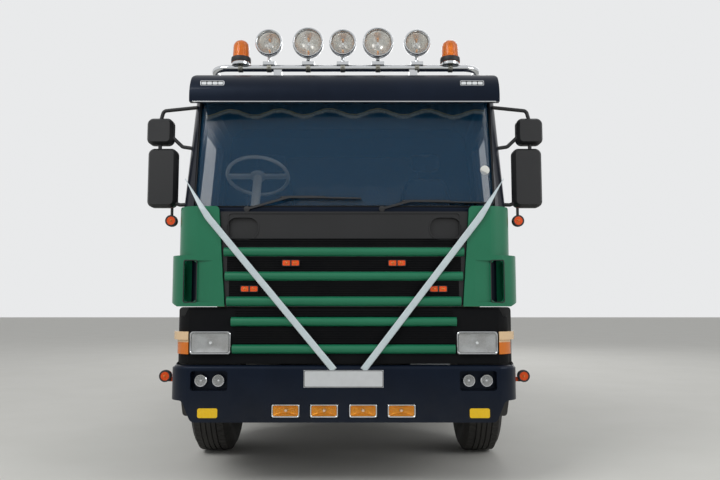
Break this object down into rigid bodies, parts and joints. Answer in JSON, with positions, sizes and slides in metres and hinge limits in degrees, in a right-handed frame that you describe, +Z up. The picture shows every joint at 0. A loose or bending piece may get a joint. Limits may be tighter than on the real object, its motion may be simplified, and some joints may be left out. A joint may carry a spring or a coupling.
{
  "type": "decorated flatbed truck",
  "caption": "Two-axle forward-control flatbed truck with a day cab, roof lamps and beacons, wedding ribbons, opening doors and drop sides.",
  "frame": {"origin": "on the ground under the middle of the truck's length, on its centre plane", "axes": "+Z up, the truck faces -Y, its left side is +X"},
  "size_m": [2.8, 7.9, 3.2398],
  "materials": {
    "green_paint": "gloss",
    "navy_paint": "gloss",
    "dark_panel": "satin",
    "frame_paint": "matt",
    "axle_iron": "rough",
    "tyre_rubber": "matt",
    "rim_paint": "satin",
    "aluminium": "brushed",
    "chrome": "polished",
    "clear_lens": "clear",
    "amber_lens": "clear",
    "red_lens": "clear",
    "plate_white": "satin",
    "window_glass": "clear",
    "black_plastic": "grained",
    "trim_grey": "grained",
    "seat_cloth": "woven",
    "pelmet_cloth": "woven",
    "ribbon_satin": "satin",
    "deck_wood": "oiled"
  },
  "bodies": {
    "truck": {"chassis_frame": "frame_paint", "engine": "axle_iron", "propshaft": "frame_paint", "front_axle": "axle_iron", "rear_axle": "axle_iron", "springs": "frame_paint", "fuel_tank": "aluminium", "chassis_boxes": "frame_paint", "mudguards": "black_plastic", "side_guards": "aluminium", "entry_steps": "black_plastic", "load_deck": "deck_wood", "headboard": "green_paint", "rear_bar": "frame_paint", "rear_lamps": "red_lens", "front_bumper": "navy_paint", "front_lamps": "clear_lens", "number_plate": "plate_white", "lower_front_panel": "dark_panel", "upper_front_panel": "dark_panel", "grille_slats": "green_paint", "corner_deflectors": "green_paint", "amber_lamps": "amber_lens", "cab_floor": "trim_grey", "cab_front_wall": "green_paint", "cab_sides": "green_paint", "cab_rear_wall": "green_paint", "cab_roof": "green_paint", "cab_glass": "window_glass", "sun_visor": "navy_paint", "light_bar": "chrome", "spot_lamps": "chrome", "beacons": "amber_lens", "mirrors": "black_plastic", "wipers": "black_plastic", "dashboard": "trim_grey", "steering_wheel": "black_plastic", "seat_bases": "trim_grey", "seat_pads": "seat_cloth", "pelmet": "pelmet_cloth", "ribbons": "ribbon_satin"},
    "door_left": {"door_left_panel": "green_paint", "door_left_glass": "window_glass"},
    "knuckle_left": {"knuckle_left": "axle_iron"},
    "front_wheel_left": {"front_left_tyre": "tyre_rubber", "front_left_rim": "rim_paint"},
    "rear_wheels_left": {"rear_left_tyres": "tyre_rubber", "rear_left_rims": "rim_paint"},
    "dropside_left": {"dropside_left": "aluminium"},
    "door_right": {"door_right_panel": "green_paint", "door_right_glass": "window_glass"},
    "knuckle_right": {"knuckle_right": "axle_iron"},
    "front_wheel_right": {"front_right_tyre": "tyre_rubber", "front_right_rim": "rim_paint"},
    "rear_wheels_right": {"rear_right_tyres": "tyre_rubber", "rear_right_rims": "rim_paint"},
    "dropside_right": {"dropside_right": "aluminium"},
    "tailboard": {"tailboard": "aluminium"}
  },
  "joints": [
    {"name": "steer_left", "type": "hinge", "parent": "truck", "child": "knuckle_left", "pos_m": [0.9, -2.561, 0.522], "axis": [0, 0, 1], "range_deg": [-35, 35]},
    {"name": "front_left_spin", "type": "hinge", "parent": "knuckle_left", "child": "front_wheel_left", "pos_m": [1.075, -2.561, 0.522], "axis": [1, 0, 0], "continuous": true},
    {"name": "rear_left_spin", "type": "hinge", "parent": "truck", "child": "rear_wheels_left", "pos_m": [0.925, 1.889, 0.522], "axis": [1, 0, 0], "continuous": true},
    {"name": "door_left_hinge", "type": "hinge", "parent": "truck", "child": "door_left", "pos_m": [1.137, -3.586, 1.9], "axis": [0, 0, -1], "range_deg": [0, 75]},
    {"name": "dropside_left_hinge", "type": "hinge", "parent": "truck", "child": "dropside_left", "pos_m": [1.254, 1, 1.25], "axis": [0, 1, 0], "range_deg": [0, 180]},
    {"name": "steer_right", "type": "hinge", "parent": "truck", "child": "knuckle_right", "pos_m": [-0.9, -2.561, 0.522], "axis": [0, 0, 1], "range_deg": [-35, 35]},
    {"name": "front_right_spin", "type": "hinge", "parent": "knuckle_right", "child": "front_wheel_right", "pos_m": [-1.075, -2.561, 0.522], "axis": [1, 0, 0], "continuous": true},
    {"name": "rear_right_spin", "type": "hinge", "parent": "truck", "child": "rear_wheels_right", "pos_m": [-0.925, 1.889, 0.522], "axis": [1, 0, 0], "continuous": true},
    {"name": "door_right_hinge", "type": "hinge", "parent": "truck", "child": "door_right", "pos_m": [-1.137, -3.586, 1.9], "axis": [0, 0, 1], "range_deg": [0, 75]},
    {"name": "dropside_right_hinge", "type": "hinge", "parent": "truck", "child": "dropside_right", "pos_m": [-1.254, 1, 1.25], "axis": [0, -1, 0], "range_deg": [0, 180]},
    {"name": "tailboard_hinge", "type": "hinge", "parent": "truck", "child": "tailboard", "pos_m": [0, 3.936, 1.25], "axis": [-1, 0, 0], "range_deg": [0, 180]}
  ],
  "couplings": [
    {"joint": "steer_right", "follows": "steer_left", "ratio": 1}
  ]
}
